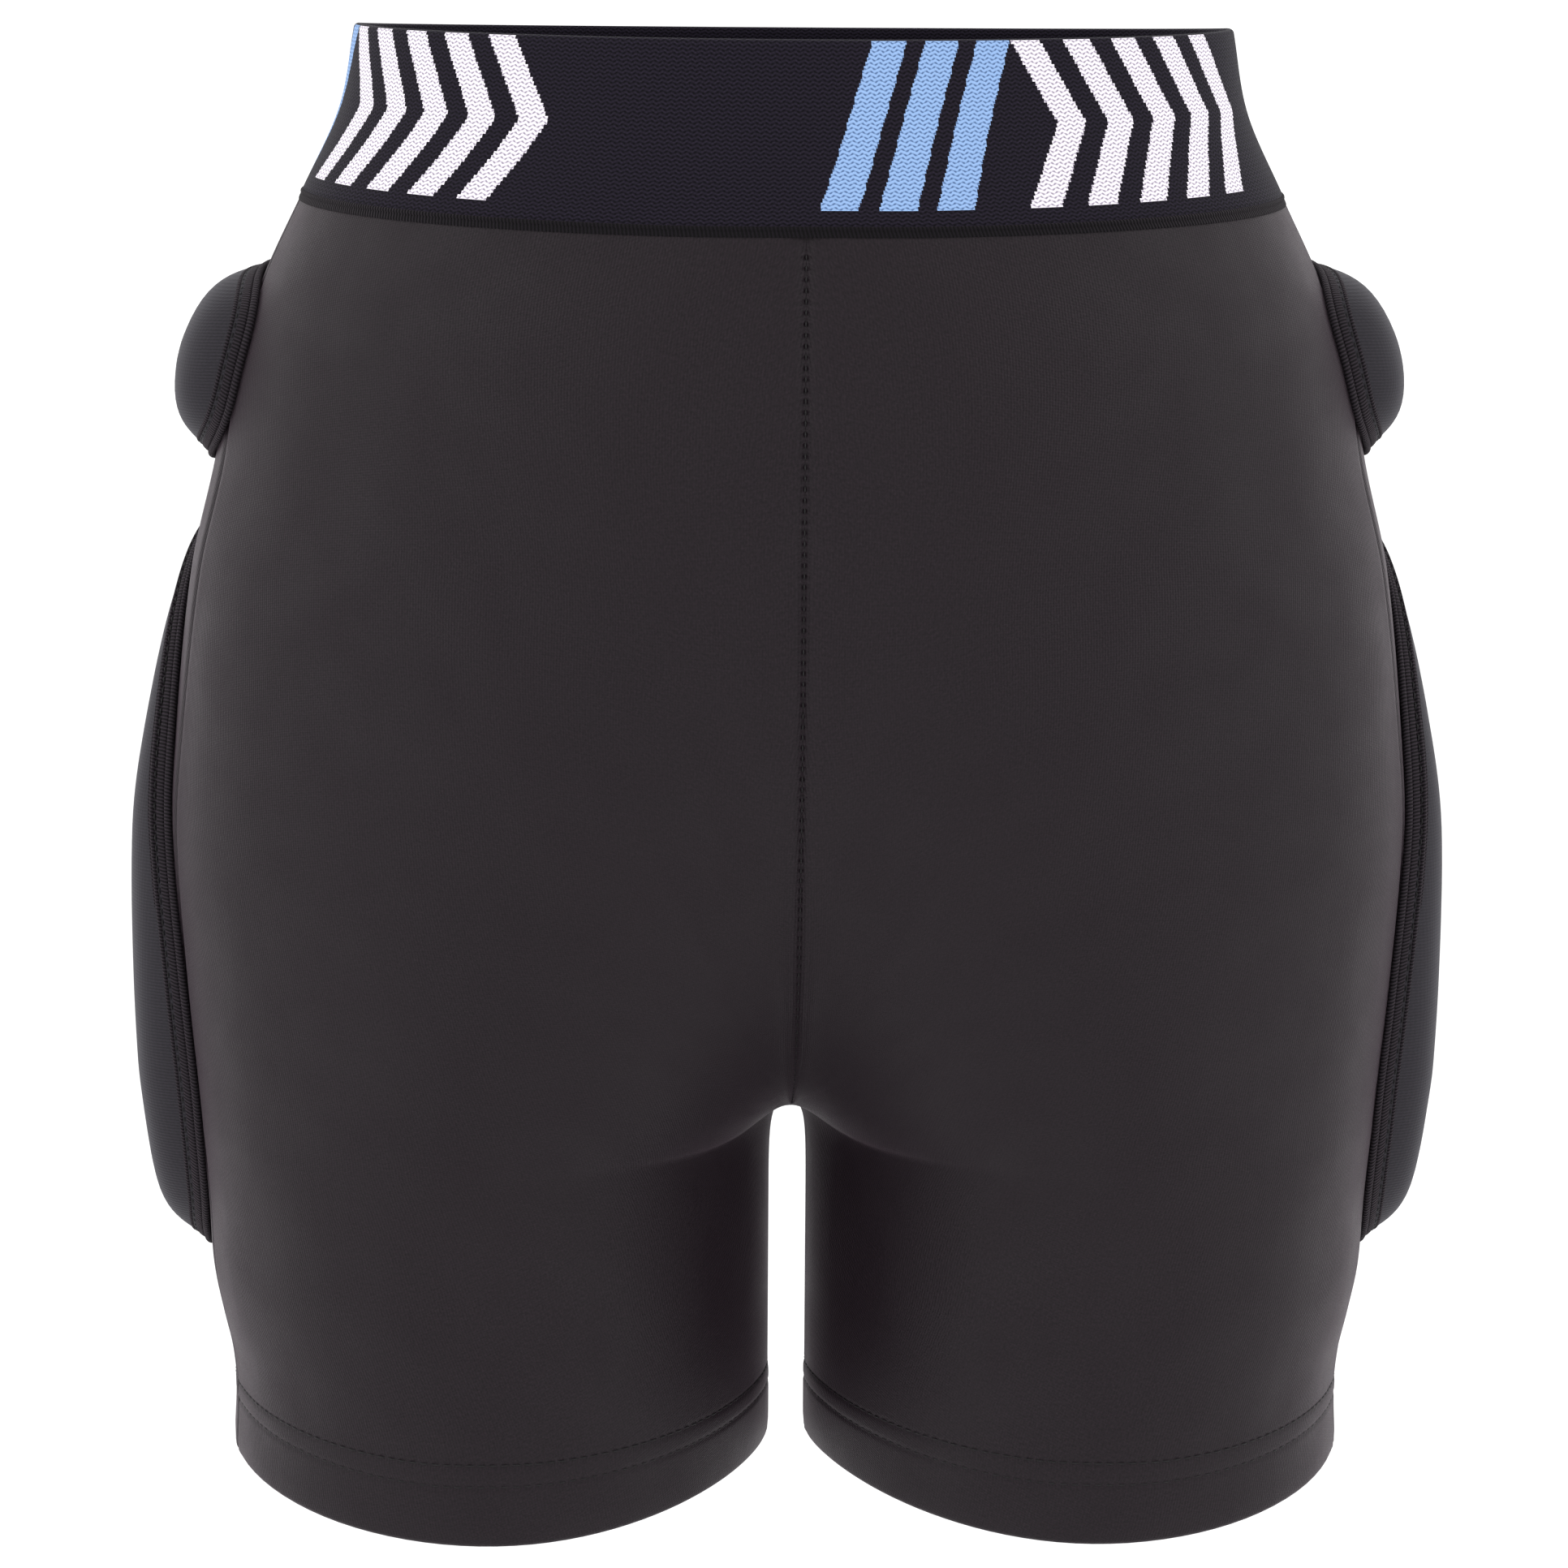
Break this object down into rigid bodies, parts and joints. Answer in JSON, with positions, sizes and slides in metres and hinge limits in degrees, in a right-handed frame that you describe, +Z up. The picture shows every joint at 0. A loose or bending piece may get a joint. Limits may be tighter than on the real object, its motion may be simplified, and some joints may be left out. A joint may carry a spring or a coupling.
{
  "type": "padded impact shorts",
  "caption": "Stretch undershorts with a wide woven waistband and sewn-in foam pads over the hips, thighs and tailbone, worn under snow clothing.",
  "frame": {"origin": "centre of the waist opening, level with the waistband's top edge", "axes": "+Z up out of the waist opening, +X to the wearer's left, the wearer faces -Y"},
  "size_m": [0.3788, 0.2329, 0.4121],
  "materials": {
    "waistband": "matte",
    "seam_trim": "matte",
    "label": "matte",
    "shell": "matte",
    "pad_cover": "matte",
    "foam": "matte",
    "pad_liner": "matte",
    "pad_binding": "matte"
  },
  "bodies": {
    "seat": {"waistband": "waistband", "waistband_seam_trim": "seam_trim", "care_label": "label", "front_panel_left": "shell", "back_panel_left": "shell", "front_panel_right": "shell", "back_panel_right": "shell", "hip_pad_cover_left": "pad_cover", "hip_pad_cover_right": "pad_cover", "hip_pad_core_left": "foam", "hip_pad_core_right": "foam", "hip_pad_liner_left": "pad_liner", "hip_pad_liner_right": "pad_liner", "hip_pad_binding_left": "pad_binding", "hip_pad_binding_right": "pad_binding", "tailbone_pad_cover": "pad_cover", "tailbone_pad_core": "foam", "tailbone_pad_liner": "pad_liner", "tailbone_pad_binding": "pad_binding"},
    "leg_left": {"thigh_pad_cover_left": "pad_cover", "thigh_pad_core_left": "foam", "thigh_pad_liner_left": "pad_liner", "thigh_pad_binding_left": "pad_binding", "leg_hem_left": "shell"},
    "leg_right": {"thigh_pad_cover_right": "pad_cover", "thigh_pad_core_right": "foam", "thigh_pad_liner_right": "pad_liner", "thigh_pad_binding_right": "pad_binding", "leg_hem_right": "shell"}
  },
  "joints": [
    {"name": "hip_left", "type": "hinge", "parent": "seat", "child": "leg_left", "pos_m": [0.088, -0.02, -0.262], "axis": [-1, 0, 0], "range_deg": [-10, 45], "stiffness_Nm_per_rad": 2, "deforming": ["front_panel_left", "back_panel_left"]},
    {"name": "hip_right", "type": "hinge", "parent": "seat", "child": "leg_right", "pos_m": [-0.088, -0.02, -0.262], "axis": [-1, 0, 0], "range_deg": [-10, 45], "stiffness_Nm_per_rad": 2, "deforming": ["front_panel_right", "back_panel_right"]}
  ]
}
